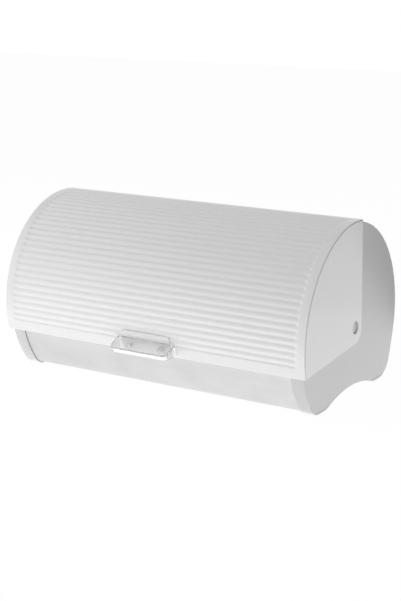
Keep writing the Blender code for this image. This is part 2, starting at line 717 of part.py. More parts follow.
for side, label in ((-1, "left"), (1, "right")):
    build_end_cap(side, label, box_carrier, cap_grey)
    build_foot_pads(side, label, box_carrier, pad_rubber)
    build_shell_screws(side, label, box_carrier, screw_steel)
    build_pivot(side, label, box_carrier, pin_nylon, washer_nylon, screw_steel)
    build_lid_cheek(side, label, lid_carrier, cheek_white)

build_body_shell(box_carrier, shell_steel)
build_lid_bumpers(box_carrier, bumper_silicone)
build_lid_panel(lid_carrier, lid_white)
build_handle(lid_carrier, clear_acrylic)
build_handle_screws(lid_carrier, screw_steel, screw_steel)
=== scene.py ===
# Looks of the bread box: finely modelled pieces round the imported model, their finishes, a plain studio
# and the camera. Metres. X runs along the lid's hinge axis, Y to the rear and Z up. Angles about the axis
# are in degrees, from the rear (0) over the top (90) to the front (180).

import json
import math

import bpy
from mathutils import Matrix, Vector


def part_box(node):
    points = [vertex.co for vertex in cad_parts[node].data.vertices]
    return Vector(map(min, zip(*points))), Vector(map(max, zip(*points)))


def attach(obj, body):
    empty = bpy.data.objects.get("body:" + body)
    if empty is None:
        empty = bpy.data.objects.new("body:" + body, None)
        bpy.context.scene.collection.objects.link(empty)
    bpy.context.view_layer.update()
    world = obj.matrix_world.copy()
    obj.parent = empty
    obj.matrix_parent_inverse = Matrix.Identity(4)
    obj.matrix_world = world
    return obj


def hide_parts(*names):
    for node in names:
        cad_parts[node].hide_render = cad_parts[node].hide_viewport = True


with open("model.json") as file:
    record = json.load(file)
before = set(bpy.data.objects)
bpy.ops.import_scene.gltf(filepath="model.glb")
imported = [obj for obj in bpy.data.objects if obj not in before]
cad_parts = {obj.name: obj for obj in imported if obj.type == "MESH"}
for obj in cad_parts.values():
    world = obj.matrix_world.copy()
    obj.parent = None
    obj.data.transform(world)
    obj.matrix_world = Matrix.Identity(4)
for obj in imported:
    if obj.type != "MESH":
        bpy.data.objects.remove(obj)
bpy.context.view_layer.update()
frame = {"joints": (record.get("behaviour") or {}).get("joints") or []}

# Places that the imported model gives
hingeY, hingeZ = frame["joints"][0]["pos_m"][1:]
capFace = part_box("end_cap_right")[1].x
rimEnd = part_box("end_cap_right")[0].x
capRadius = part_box("end_cap_right")[1].y - hingeY
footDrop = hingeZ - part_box("end_cap_right")[0].z
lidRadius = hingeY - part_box("lid_panel")[0].y
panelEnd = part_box("lid_panel")[1].x
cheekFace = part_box("lid_cheek_right")[1].x
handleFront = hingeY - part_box("lid_handle")[0].y
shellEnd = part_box("body_shell")[1].x

fit = {"gap": 0.0003, "turn": 0.0004, "overrun": 0.002}   # clearances, and how far a cutter passes a face
tolerance = {"merge": 0.00001, "place": 0.00002, "angle": 0.02}   # what counts as one point, place or angle
arcStep = 2.5                                             # degrees in one step of the box's round walls
roundSteps = 64                                           # steps round a hub, a pin or a dish
quarters = (0, 0.25, 0.5, 0.75, 1)                        # shares along a short curve
sides = ((1, "Right"), (-1, "Left"))


def editMesh():
    bpy.ops.object.mode_set(mode="EDIT")


def leaveMesh():
    bpy.ops.object.mode_set(mode="OBJECT")


def selectAll():
    bpy.ops.mesh.select_all(action="SELECT")


def clearSelection():
    if bpy.context.object and bpy.context.object.mode != "OBJECT":
        leaveMesh()
    bpy.ops.object.select_all(action="DESELECT")


def takeUp(piece):
    # Makes a piece the only selected one.
    clearSelection()
    piece.select_set(True)
    bpy.context.view_layer.objects.active = piece


def spot(radius, angle, centre=(0, 0)):
    # A place (y, z) at that radius and angle about the hinge axis, or about a centre measured from it.
    turn = math.radians(angle)
    return hingeY + centre[0] + radius * math.cos(turn), hingeZ + centre[1] + radius * math.sin(turn)


def fromHinge(radius, angle):
    # The same as a place measured from the hinge axis.
    turn = math.radians(angle)
    return radius * math.cos(turn), radius * math.sin(turn)


def outward(angle, sign=1):
    # The direction away from the hinge axis at that angle, or with -1 the one back to it.
    return 0, *fromHinge(sign, angle)


def radiusOf(place):
    return math.hypot(place.y - hingeY, place.z - hingeZ)


def angleOf(place):
    return math.degrees(math.atan2(place.z - hingeZ, place.y - hingeY)) % 360


def near(value, target, room=tolerance["place"]):
    return abs(value - target) < room


def nearAngle(place, angle):
    return near(angleOf(place), angle, tolerance["angle"])


def pick(test, kind="VERT"):
    # Selects what passes the test: points, edges by both of their ends, or faces by their middle.
    bpy.ops.mesh.select_mode(type=kind)
    bpy.ops.mesh.select_all(action="DESELECT")
    leaveMesh()
    mesh = bpy.context.object.data
    if kind == "VERT":
        for point in mesh.vertices:
            point.select = test(point.co)
    elif kind == "EDGE":
        for edge in mesh.edges:
            edge.select = all(test(mesh.vertices[i].co) for i in edge.vertices)
    else:
        for face in mesh.polygons:
            face.select = test(face.center)
    editMesh()


def roundOff(test, size, steps):
    # Rounds the edges whose two ends pass the test.
    pick(test, "EDGE")
    bpy.ops.mesh.bevel(offset=size, segments=steps, affect="EDGES")


def startPath(x, place):
    # A new object of a single point, in edit mode, ready to be drawn out.
    clearSelection()
    bpy.ops.mesh.primitive_plane_add(size=0.001, location=(x, *place))
    bpy.ops.object.transform_apply(location=True)
    editMesh()
    bpy.ops.mesh.select_mode(type="VERT")
    selectAll()
    bpy.ops.mesh.merge(type="CENTER")


def drawBy(x=0.0, y=0.0, z=0.0):
    bpy.ops.mesh.extrude_region_move(TRANSFORM_OT_translate={"value": (x, y, z)})


def drawTo(place):
    # Draws the selected point out in a straight line to a place (y, z).
    leaveMesh()
    now = [point.co.copy() for point in bpy.context.object.data.vertices if point.select][0]
    editMesh()
    drawBy(y=place[0] - now.y, z=place[1] - now.z)


def swingOut(centre, angle, steps):
    # Draws the selection out along an arc about an axis parallel to X, its centre measured from the hinge
    # axis. With no window, spin turns the other way, so the angle is given with the opposite sign.
    bpy.ops.mesh.spin(steps=steps, angle=-math.radians(angle), axis=(1, 0, 0),
                      center=(0, hingeY + centre[0], hingeZ + centre[1]))


def mergeDoubles():
    selectAll()
    bpy.ops.mesh.remove_doubles(threshold=tolerance["merge"])


def closeUp():
    # Joins the ends of a drawn outline and fills it.
    mergeDoubles()
    selectAll()
    bpy.ops.mesh.edge_face_add()


def faceOut():
    # Points the faces of a closed body outwards.
    selectAll()
    bpy.ops.mesh.normals_make_consistent(inside=False)


def finishEdit(name="tool"):
    leaveMesh()
    piece = bpy.context.object
    piece.name = name
    piece.data.name = name
    return piece


def finishSheet(name, axis):
    # Finishes an open sheet with its outer side out, which the face furthest along an axis shows.
    faceOut()
    sheet = finishEdit(name)
    furthest = max(sheet.data.polygons, key=lambda face: face.center[axis])
    if furthest.normal[axis] < 0:
        editMesh()
        bpy.ops.mesh.flip_normals()
        leaveMesh()
    return sheet


def applied(piece, kind, **settings):
    # Adds a modifier and applies it.
    takeUp(piece)
    step = piece.modifiers.new("step", kind)
    for setting, value in settings.items():
        setattr(step, setting, value)
    bpy.ops.object.modifier_apply(modifier=step.name)


def cut(piece, tool, operation="DIFFERENCE"):
    # Cuts a piece with a tool, or joins the tool to it, and clears the tool away.
    applied(piece, "BOOLEAN", object=tool, operation=operation, solver="EXACT")
    bpy.data.objects.remove(tool, do_unlink=True)


def smoothed(piece, angle=32):
    # Smooth round stretches, sharp corners, and flat faces that stay flat beside their rounded edges.
    takeUp(piece)
    bpy.ops.object.shade_smooth_by_angle(angle=math.radians(angle))
    applied(piece, "WEIGHTED_NORMAL", mode="FACE_AREA", keep_sharp=True, weight=50)
    return piece


def copied(piece, name):
    takeUp(piece)
    bpy.ops.object.duplicate()
    twin = bpy.context.object
    twin.name = name
    twin.data.name = name
    return twin


def crossOver(piece):
    # Mirrors a piece to the other end of the box, its faces still pointing out.
    takeUp(piece)
    piece.scale.x = -1
    bpy.ops.object.transform_apply(scale=True)
    editMesh()
    faceOut()
    leaveMesh()
    return piece


def turned(profile, steps, name="tool"):
    # A body turned about the hinge axis, from (x, radius) pairs that start and end on the axis or meet.
    startPath(profile[0][0], spot(profile[0][1], 90))
    for (x, radius), (beforeX, beforeRadius) in zip(profile[1:], profile):
        drawBy(x=x - beforeX, z=radius - beforeRadius)
    selectAll()
    swingOut((0, 0), 360, steps)
    mergeDoubles()
    faceOut()
    return finishEdit(name)


def roundedProfile(profile, corner, size):
    # Replaces one point of a profile by a short curve.
    before, at, after = (Vector(profile[corner + i]) for i in (-1, 0, 1))
    start = at + (before - at).normalized() * size
    end = at + (after - at).normalized() * size
    curve = [start * (1 - t) ** 2 + at * 2 * t * (1 - t) + end * t ** 2 for t in quarters]
    return [*profile[:corner], *(tuple(point) for point in curve), *profile[corner + 1:]]


def placed(piece, origin, direction):
    # Carries a piece that was turned about the hinge axis to an origin, with its +X along a direction.
    turn = Vector((1, 0, 0)).rotation_difference(Vector(direction)).to_matrix().to_4x4()
    piece.data.transform(Matrix.Translation(origin) @ turn @ Matrix.Translation((0, -hingeY, -hingeZ)))
    return piece


def dressed(piece, material, body, node):
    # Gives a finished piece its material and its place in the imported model.
    piece.data.materials.clear()
    piece.data.materials.append(material)
    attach(piece, body)
    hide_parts(node)
    return piece


def hexToLinear(code):
    # An sRGB hex colour as linear red, green, blue and alpha.
    shares = [int(code[i:i + 2], 16) / 255 for i in (1, 3, 5)]
    return (*(s / 12.92 if s <= 0.04045 else ((s + 0.055) / 1.055) ** 2.4 for s in shares), 1.0)


def feed(tree, node, inputs):
    # Each input is a value, a hex colour, or the output that it is linked to.
    for socket, value in inputs.items():
        if isinstance(value, bpy.types.NodeSocket):
            tree.links.new(value, node.inputs[socket])
        else:
            node.inputs[socket].default_value = hexToLinear(value) if isinstance(value, str) else value


def addNode(tree, kind, inputs=None, **settings):
    # Adds a node and gives back its outputs.
    node = tree.nodes.new("ShaderNode" + kind)
    for setting, value in settings.items():
        setattr(node, setting, value)
    feed(tree, node, inputs or {})
    return node.outputs


def newMaterial(name, constants):
    # A Principled material with its constant values set on the shader.
    material = bpy.data.materials.new(name)
    material.use_nodes = True
    tree = material.node_tree
    shader = tree.nodes["Principled BSDF"]
    feed(tree, shader, constants)
    return material, tree, shader, addNode(tree, "TexCoord")["Object"]


def bareMaterial(name):
    # A material with no nodes yet.
    material = bpy.data.materials.new(name)
    material.use_nodes = True
    material.node_tree.nodes.clear()
    return material, material.node_tree


print("stage: camera, lights and floor")
studio = {
    "eye": (0.79954, -1.28533, 0.46922),      # the photo's camera, fitted to the lid's round end and the feet
    "tilt": 75.77, "turn": 31.78,             # degrees from straight down, and about the vertical
    "lens": 81.70, "sensor": 36,              # mm, the sensor along the photo's longer side
    "dome": 0.310,                            # light from all round, as a share of white
    "backdrop": "#FFFFFF", "paper": "#E6E6E6", "floorSize": 8.0,
    "floorGlow": 1.06, "glowShare": 0.9,      # how far the paper is lit up to the backdrop's white
    # The lit table under and before the box, and softboxes: place, what each faces, size and watts. The table
    # lights lie at heights of their own, because a ray passes over the second of two lights in one plane.
    "lamps": {
        "tableLight": ((0, 0, 0.0003), (0, 0, 1), (0.8, 0.7), 0.427),
        "tableFrontLight": ((0, -0.24, 0.001), (0, -0.24, 1), (0.6, 0.12), 0.155),
        "tableLeftLight": ((-0.25, -0.3, 0.0015), (-0.25, -0.3, 1), (0.5, 0.3), 0.037),
        "tableWideLight": ((0, -0.2, 0.002), (0, -0.2, 1), (2.4, 2.0), 4.42),
        "leftSoftbox": ((-1.1, -0.6, 0.9), (0, 0, 0.12), (1.2, 1.2), 5.63),
        "leftLowSoftbox": ((-1.2, -0.8, 0.35), (0, 0, 0.12), (1.6, 1.0), 2.95),
        "rightSoftbox": ((1.2, 0.2, 0.35), (0, 0, 0.12), (0.8, 0.8), 1.2),
        "frontSoftbox": ((0.3, -1.4, 0.13), (0, 0, 0.12), (1.2, 0.25), 0.545),
        "topSoftbox": ((0, -0.2, 1.4), (0, 0, 0.12), (1.0, 1.0), 2.4),
    },
    # A dark board that only glosses show: its lower edge is the slanting shade on the right end cap
    "board": ((0.2918, 0.2438, 0.1072), (0.1686, 0.3202, -0.1625),
              (0.1686, 0.3202, 0.45), (0.2918, 0.2438, 0.45)),
    "boardTone": "#5A5A5A",
}


def addCamera():
    data = bpy.data.cameras.new("photoCamera")
    data.lens = studio["lens"]
    data.sensor_width = studio["sensor"]
    camera = bpy.data.objects.new("photoCamera", data)
    camera.location = studio["eye"]
    camera.rotation_euler = (math.radians(studio["tilt"]), 0, math.radians(studio["turn"]))
    bpy.context.scene.collection.objects.link(camera)
    bpy.context.scene.camera = camera


def addSoftbox(name, place, aim, size, watts):
    data = bpy.data.lights.new(name, "AREA")
    data.shape = "RECTANGLE"
    data.size, data.size_y = size
    data.energy = watts
    lamp = bpy.data.objects.new(name, data)
    lamp.location = place
    lamp.rotation_euler = (Vector(aim) - Vector(place)).to_track_quat("-Z", "Y").to_euler()
    lamp.visible_camera = False
    bpy.context.scene.collection.objects.link(lamp)


def seenDirectly(tree):
    # 1 for what the camera sees, also in a gloss or through clear plastic, and 0 for the light on the object.
    path = addNode(tree, "LightPath")
    seen = path["Is Camera Ray"]
    for ray in ("Is Glossy Ray", "Is Transmission Ray"):
        seen = addNode(tree, "Math", {0: seen, 1: path[ray]}, operation="MAXIMUM")[0]
    return seen


def addWorld():
    world = bpy.data.worlds.new("studioDome")
    bpy.context.scene.world = world
    world.use_nodes = True
    tree = world.node_tree
    tree.nodes.clear()
    light, seen = (addNode(tree, "Background", {"Color": color, "Strength": strength})
                   for color, strength in (("#FFFFFF", studio["dome"]), (studio["backdrop"], 1.0)))
    both = addNode(tree, "MixShader", {0: seenDirectly(tree), 1: light[0], 2: seen[0]})
    addNode(tree, "OutputWorld", {"Surface": both[0]})


def addFloor():
    clearSelection()
    bpy.ops.mesh.primitive_plane_add(size=studio["floorSize"])
    floor = bpy.context.object
    floor.name = "studioFloor"
    material, tree = bareMaterial("studioPaper")
    paper = addNode(tree, "BsdfDiffuse", {"Color": studio["paper"]})
    glow = addNode(tree, "Emission", {"Color": studio["backdrop"], "Strength": studio["floorGlow"]})
    share = addNode(tree, "Math", {0: seenDirectly(tree), 1: studio["glowShare"]}, operation="MULTIPLY")
    both = addNode(tree, "MixShader", {0: share[0], 1: paper[0], 2: glow[0]})
    addNode(tree, "OutputMaterial", {"Surface": both[0]})
    floor.data.materials.append(material)


def addBoard():
    clearSelection()
    bpy.ops.mesh.primitive_plane_add(size=1)
    board = bpy.context.object
    board.name = "shadeBoard"
    for corner, place in zip((0, 1, 3, 2), studio["board"]):
        board.data.vertices[corner].co = place
    material, tree = bareMaterial("boardPaint")
    glow = addNode(tree, "Emission", {"Color": studio["boardTone"], "Strength": 1.0})
    addNode(tree, "OutputMaterial", {"Surface": glow[0]})
    board.data.materials.append(material)
    board.visible_camera = board.visible_diffuse = board.visible_transmission = board.visible_shadow = False


addCamera()
for name, lamp in studio["lamps"].items():
    addSoftbox(name, *lamp)
addWorld()
addFloor()
addBoard()
bpy.context.scene.view_settings.view_transform = "Standard"

print("stage: materials")


def makeWhiteEnamel():
    # White stove enamel on sheet steel: a smooth coat with a faint orange peel and a broad soft gloss.
    look = {"coat": "#EDEDED", "peel": 0.0016, "peelHeight": 0.000004, "sheenSpread": 0.02,
            "dullest": 0.34, "glossiest": 0.26}
    material, tree, shader, place = newMaterial(
        "whiteEnamel", {"IOR": 1.5, "Roughness": 0.3, "Base Color": look["coat"]})
    wander = addNode(tree, "TexNoise", {"Vector": place, "Scale": 1 / look["sheenSpread"], "Detail": 3.0})
    rough = addNode(tree, "MapRange", {"Value": wander["Fac"], "To Min": look["glossiest"],
                                       "To Max": look["dullest"]})
    peel = addNode(tree, "TexNoise", {"Vector": place, "Scale": 1 / look["peel"], "Detail": 1.0})
    bump = addNode(tree, "Bump", {"Height": peel["Fac"], "Distance": look["peelHeight"], "Strength": 1.0})
    feed(tree, shader, {"Roughness": rough[0], "Normal": bump[0]})
    return material


def makePlastic(name, color, roughness, grain, grainHeight):
    # Injection-moulded plastic: the fine spark grain of its mould, and a slight drift of tone from cooling.
    look = {"drift": 0.04, "driftTone": 0.02}
    material, tree, shader, place = newMaterial(name, {"IOR": 1.53, "Roughness": roughness})
    drift = addNode(tree, "TexNoise", {"Vector": place, "Scale": 1 / look["drift"], "Detail": 2.0})
    dark = (*(share * (1 - look["driftTone"]) for share in hexToLinear(color)[:3]), 1.0)
    mix = addNode(tree, "Mix", {"Factor": drift["Fac"], "A": dark, "B": color}, data_type="RGBA")
    spark = addNode(tree, "TexNoise", {"Vector": place, "Scale": 1 / grain, "Detail": 2.0})
    bump = addNode(tree, "Bump", {"Height": spark["Fac"], "Distance": grainHeight, "Strength": 1.0})
    feed(tree, shader, {"Base Color": mix["Result"], "Normal": bump[0]})
    return material


def makeBrushedSteel():
    # Satin stainless sheet, brushed along the box: fine lines that draw the gloss out across them, and
    # cloudy patches a few centimetres wide.
    look = {"metal": "#BBBBBB", "line": 0.0006, "lineLength": 0.06, "lineHeight": 0.000006, "patch": 0.03,
            "dullest": 0.48, "glossiest": 0.38}
    material, tree, shader, place = newMaterial("brushedSteel", {"Metallic": 1.0, "Roughness": 0.42})
    stretch = look["line"] / look["lineLength"]
    along = addNode(tree, "Mapping", {"Vector": place, "Scale": (stretch, 1.0, 1.0)})
    lines = addNode(tree, "TexNoise", {"Vector": along[0], "Scale": 1 / look["line"], "Detail": 2.0})
    patch = addNode(tree, "TexNoise", {"Vector": place, "Scale": 1 / look["patch"], "Detail": 3.0})
    rough = addNode(tree, "MapRange", {"Value": patch["Fac"], "To Min": look["glossiest"],
                                       "To Max": look["dullest"]})
    # shares of the metal's own tone: along the lines, and over the patches
    shade = addNode(tree, "MapRange", {"Value": lines["Fac"], "To Min": 0.9, "To Max": 1.06})
    stain = addNode(tree, "MapRange", {"Value": patch["Fac"], "From Min": 0.35, "From Max": 0.65,
                                       "To Min": 0.955, "To Max": 1.03})
    both = addNode(tree, "Math", {0: shade[0], 1: stain[0]}, operation="MULTIPLY")
    tint = addNode(tree, "Mix", {"Factor": 1.0, "A": look["metal"], "B": both[0]},
                   data_type="RGBA", blend_type="MULTIPLY")
    bump = addNode(tree, "Bump", {"Height": lines["Fac"], "Distance": look["lineHeight"], "Strength": 1.0})
    feed(tree, shader, {"Base Color": tint["Result"], "Roughness": rough[0], "Normal": bump[0]})
    return material


def makeClearAcrylic():
    # Clear moulded acrylic, with faint moulding waves and the slight milky haze of a worn surface.
    look = {"tint": "#F0F0F0", "wave": 0.006, "waveHeight": 0.00001}
    material, tree, shader, place = newMaterial(
        "clearAcrylic", {"IOR": 1.49, "Roughness": 0.2, "Transmission Weight": 0.9,
                         "Base Color": look["tint"]})
    wave = addNode(tree, "TexNoise", {"Vector": place, "Scale": 1 / look["wave"], "Detail": 1.0})
    bump = addNode(tree, "Bump", {"Height": wave["Fac"], "Distance": look["waveHeight"], "Strength": 1.0})
    feed(tree, shader, {"Normal": bump[0]})
    return material


def makeSoft(name, color, roughness, grain):
    # Moulded rubber or silicone: dull, with a fine powdery grain.
    look = {"spread": 0.08, "grainFlatness": 20}
    material, tree, shader, place = newMaterial(
        name, {"IOR": 1.45, "Roughness": roughness, "Base Color": color})
    powder = addNode(tree, "TexNoise", {"Vector": place, "Scale": 1 / grain, "Detail": 3.0})
    rough = addNode(tree, "MapRange", {"Value": powder["Fac"], "To Min": roughness - look["spread"],
                                       "To Max": roughness + look["spread"]})
    bump = addNode(tree, "Bump", {"Height": powder["Fac"], "Distance": grain / look["grainFlatness"],
                                  "Strength": 0.6})
    feed(tree, shader, {"Roughness": rough[0], "Normal": bump[0]})
    return material


def makeZincSteel():
    # Zinc-plated steel screws and clips: a bright metal with a fine cloudy plating.
    look = {"dark": "#B4B8BC", "light": "#D2D4D4", "cloud": 0.0012, "dullest": 0.44, "glossiest": 0.26}
    material, tree, shader, place = newMaterial("zincSteel", {"Metallic": 1.0, "Roughness": 0.34})
    cloud = addNode(tree, "TexNoise", {"Vector": place, "Scale": 1 / look["cloud"], "Detail": 4.0})
    tint = addNode(tree, "Mix", {"Factor": cloud["Fac"], "A": look["dark"], "B": look["light"]},
                   data_type="RGBA")
    rough = addNode(tree, "MapRange", {"Value": cloud["Fac"], "To Min": look["glossiest"],
                                       "To Max": look["dullest"]})
    feed(tree, shader, {"Base Color": tint["Result"], "Roughness": rough[0]})
    return material


whiteEnamel = makeWhiteEnamel()
whiteAbs = makePlastic("whiteAbs", "#EAEAEA", 0.14, 0.0009, 0.000003)
greyAbs = makePlastic("greyAbs", "#CFCFCF", 0.25, 0.0007, 0.000006)
brushedSteel = makeBrushedSteel()
clearAcrylic = makeClearAcrylic()
padRubber = makeSoft("padRubber", "#5A5A59", 0.8, 0.0006)
bumperSilicone = makeSoft("bumperSilicone", "#DADAD6", 0.5, 0.0008)
pinNylon = makePlastic("pinNylon", "#CBCBCB", 0.38, 0.0006, 0.000008)
washerNylon = makePlastic("washerNylon", "#E4E2DA", 0.45, 0.0006, 0.000008)
zincSteel = makeZincSteel()

print("stage: lid panel")
lidPanelLook = {
    "sheet": 0.0008,
    "front": 194.6, "back": 83.9,                 # edges of the closed lid, in degrees
    "frontStrip": 0.0139, "backStrip": 0.0131,    # plain strips from the edges to the outermost grooves
    "ribs": 27, "ribDepth": 0.0011,
    "ribProfile": (1.0, 0.92, 0.69, 0.39, 0.17, 0.04, 0.0),   # depth from a groove's bottom to the next crest
    "runOut": (1.0, 0.72, 0.22, 0.0),             # the same from the outermost grooves to the plain strips
    "border": 0.0082, "fade": 0.005,              # plain border at each end, and a groove's run-out to it
    "frontHem": (0.001, 0.0018), "backHem": (0.0024, 0.0004),     # bend, and straight fold after it
    "hemSteps": 6, "edge": 0.00015, "edgeAngle": 50,
}


def sectorTool(x, depth, radius, start, end, inner=0.0):
    # A closed sector of a disc or ring about the hinge axis.
    steps = max(3, round(abs(end - start) / arcStep))
    startPath(x, spot(inner, start))
    drawTo(spot(radius, start))
    swingOut((0, 0), end - start, steps)
    if inner:
        drawTo(spot(inner, end))
        swingOut((0, 0), start - end, steps)
    closeUp()
    drawBy(x=depth)
    faceOut()
    return finishEdit()


def makeLidPanel():
    look = lidPanelLook
    steps = 2 * (len(look["ribProfile"]) - 1)
    lead = len(look["runOut"]) - 1
    first = look["back"] + math.degrees(look["backStrip"] / lidRadius)
    last = look["front"] - math.degrees(look["frontStrip"] / lidRadius)
    step = (last - first) / look["ribs"] / steps
    ribEnd = panelEnd - look["border"]
    columns = [panelEnd, *(ribEnd - look["fade"] * share for share in quarters)]
    places = [-x for x in columns] + columns[::-1]

    startPath(places[0], spot(lidRadius, first - lead * step))
    for before, after in zip(places, places[1:]):
        drawBy(x=after - before)
    selectAll()
    swingOut((0, 0), last - first + 2 * lead * step, look["ribs"] * steps + 2 * lead)

    def depthOf(row):
        beyond = max(-row, row - look["ribs"] * steps)
        if beyond > 0:
            return look["runOut"][beyond]
        return look["ribProfile"][min(row % steps, -row % steps)]

    # Grooves: all rows of one depth are drawn in towards the hinge axis together, less so at their ends
    depths = sorted({depthOf(row) for row in range(-lead, look["ribs"] * steps + lead + 1)} - {0.0})
    for depth in depths:
        for share in quarters[1:]:
            x = ribEnd - look["fade"] * share

            def inGroove(place):
                inside = abs(place.x) < x + tolerance["place"] if share == 1 else near(abs(place.x), x)
                return inside and depthOf(round((angleOf(place) - first) / step)) == depth
            pick(inGroove)
            size = 1 - look["ribDepth"] * depth * share * share * (3 - 2 * share) / lidRadius
            bpy.ops.transform.resize(value=(1, size, size), center_override=(0, hingeY, hingeZ))

    # Plain strips and the inward hems along both edges
    for row, limit, side, (bend, fold) in ((last + lead * step, look["front"], 1, look["frontHem"]),
                                           (first - lead * step, look["back"], -1, look["backHem"])):
        stop = limit - side * math.degrees(bend / lidRadius)
        pick(lambda place: near(angleOf(place), row, step / 2))
        swingOut((0, 0), stop - row, look["hemSteps"])
        swingOut(fromHinge(lidRadius - bend, stop), side * 90, look["hemSteps"])
        y, z = fromHinge(fold, limit)
        drawBy(y=-y, z=-z)
    panel = finishSheet("lidPanelSheet", 2)
    applied(panel, "SOLIDIFY", thickness=look["sheet"], offset=-1, use_even_offset=True)
    applied(panel, "BEVEL", width=look["edge"], segments=2, limit_method="ANGLE",
            angle_limit=math.radians(look["edgeAngle"]))
    return smoothed(panel)


dressed(makeLidPanel(), whiteEnamel, "lid", "lid_panel")

print("stage: lid cheeks")
cheekLook = {
    "thickness": 0.003, "edge": 0.0008,
    "seam": 0.0006,                                # dark joint between the cheek and the lid's sheet
    "hubRound": 0.015, "hubCentre": (0.0006, -0.0033),
    "backCorner": 0.004, "frontCorner": 0.0015,
    # wall under the lid's border, its margin in degrees and its gap to the sheet
    "flange": 0.0015, "flangeMargin": 2.5, "flangeGap": 0.0001,
    "hubRadius": 0.013, "hubDepth": 0.0058,        # hub behind the cheek
    "lugRadius": 0.016, "lugFrom": 186.0, "lugTo": 214.0,
    "recess": 0.007, "recessDepth": 0.0046, "recessEdge": 0.0004, "recessRound": 0.00025, "bore": 0.0040,
}


def touchAngle(corner, centre, radius, side):
    # Where a line from the corner touches a circle, as an angle about the circle's centre.
    y, z = corner[0] - centre[0], corner[1] - centre[1]
    away = math.degrees(math.acos(radius / math.hypot(y, z)))
    return (math.degrees(math.atan2(z, y)) + side * away) % 360


def makeCheek():
    look = cheekLook
    inside = cheekFace - look["thickness"]
    radius = lidRadius - lidPanelLook["sheet"] - look["seam"]
    trim = math.degrees((lidPanelLook["sheet"] + fit["gap"]) / radius)
    back, front = lidPanelLook["back"] + trim, lidPanelLook["front"] - trim
    centre = look["hubCentre"]
    under = touchAngle(fromHinge(radius, front), centre, look["hubRound"], 1)
    rear = touchAngle(fromHinge(radius, back), centre, look["hubRound"], -1)

    startPath(inside, spot(radius, back))
    swingOut((0, 0), front - back, 56)
    drawTo(spot(look["hubRound"], under, centre))
    swingOut(centre, (rear - under) % 360, 24)
    closeUp()
    drawBy(x=look["thickness"])
    for angle, size in ((back, look["backCorner"]), (front, look["frontCorner"])):
        roundOff(lambda place: near(radiusOf(place), radius) and nearAngle(place, angle), size, 6)
    roundOff(lambda place: near(place.x, cheekFace), look["edge"], 4)
    roundOff(lambda place: near(place.x, inside), fit["gap"], 2)
    faceOut()
    cheek = finishEdit("lidCheekRight")

    root = inside + look["thickness"] / 2
    margin = look["flangeMargin"]
    outer = lidRadius - lidPanelLook["sheet"] - look["flangeGap"]
    start = panelEnd - lidPanelLook["border"] + fit["gap"]
    cut(cheek, sectorTool(start, root - start, outer, lidPanelLook["back"] + margin,
                          lidPanelLook["front"] - margin, outer - look["flange"]), "UNION")
    hubEnd = inside - look["hubDepth"]
    hub = [(hubEnd, 0), (hubEnd, look["hubRadius"] - fit["gap"]), (hubEnd + fit["gap"], look["hubRadius"]),
           (root, look["hubRadius"]), (root, 0)]
    cut(cheek, turned(hub, roundSteps), "UNION")
    cut(cheek, sectorTool(hubEnd + fit["turn"], root - hubEnd - fit["turn"], look["lugRadius"],
                          look["lugFrom"], look["lugTo"]), "UNION")
    floor = cheekFace - look["recessDepth"]
    mouth = look["recess"] + look["recessEdge"]
    over = fit["overrun"]
    recess = [(cheekFace + over, 0), (cheekFace + over, mouth), (cheekFace, mouth),
              (cheekFace - look["recessEdge"], look["recess"]), (floor, look["recess"]),
              (floor, look["bore"]), (hubEnd - over, look["bore"]), (hubEnd - over, 0)]
    cut(cheek, turned(roundedProfile(recess, 3, look["recessRound"]), roundSteps))
    return smoothed(cheek)


cheekRight = makeCheek()
cheekLeft = crossOver(copied(cheekRight, "lidCheekLeft"))
dressed(cheekRight, whiteAbs, "lid", "lid_cheek_right")
dressed(cheekLeft, whiteAbs, "lid", "lid_cheek_left")

print("stage: end caps")
sectionLook = {
    "footRound": 0.022, "footFlat": 0.0095, "archRise": 0.0106, "crownShare": 0.82, "archShift": 0.0025,
    # below that angle the rear wall runs out to a wider rear foot
    "rearFrom": 12.0, "rearRadius": 0.2645, "rearRound": 0.026,
}
footZ = sectionLook["footRound"] - footDrop
footY = math.sqrt((capRadius - sectionLook["footRound"]) ** 2 - footZ ** 2)
footTangent = math.degrees(math.atan2(-footZ, footY))
rearCentre = fromHinge(sectionLook["rearRadius"] - capRadius, 180 - sectionLook["rearFrom"])
rearZ = sectionLook["rearRound"] - footDrop
rearReach = sectionLook["rearRadius"] - sectionLook["rearRound"]
rearY = rearCentre[0] + math.sqrt(rearReach ** 2 - (rearZ - rearCentre[1]) ** 2)
rearTangent = math.degrees(math.atan2(rearCentre[1] - rearZ, rearY - rearCentre[0]))
archEnd = footY - sectionLook["footFlat"]
archSlope = 2 * math.degrees(math.atan2(sectionLook["archRise"], archEnd))
archCurve = archEnd / math.sin(math.radians(archSlope))
crownRadius = archCurve * sectionLook["crownShare"]
toeRadius = archCurve - crownRadius
toeZ = toeRadius - footDrop
crownZ = sectionLook["archRise"] - footDrop - crownRadius


def drawSection(x, inset, start, end):
    # The box's side outline, that far inside the caps' own: from the start angle down the front,
    # along the front foot, the arch and the rear foot, and up the rear to the end angle.
    shift = sectionLook["archShift"]
    frontEnd, rearStart, rearEnd = 180 + footTangent, 360 - rearTangent, 360 - sectionLook["rearFrom"]
    startPath(x, spot(capRadius - inset, start))
    swingOut((0, 0), frontEnd - start, round((frontEnd - start) / arcStep))
    swingOut((-footY, footZ), 270 - frontEnd, 10)
    drawBy(y=footY - archEnd + shift)
    swingOut((shift - archEnd, toeZ), archSlope, 5)
    swingOut((shift, crownZ), -2 * archSlope, 16)
    swingOut((shift + archEnd, toeZ), archSlope, 5)
    drawBy(y=rearY - archEnd - shift)
    swingOut((rearY, rearZ), rearStart - 270, 10)
    swingOut(rearCentre, rearEnd - rearStart, 6)
    swingOut((0, 0), 360 + end - rearEnd, round((360 + end - rearEnd) / arcStep))


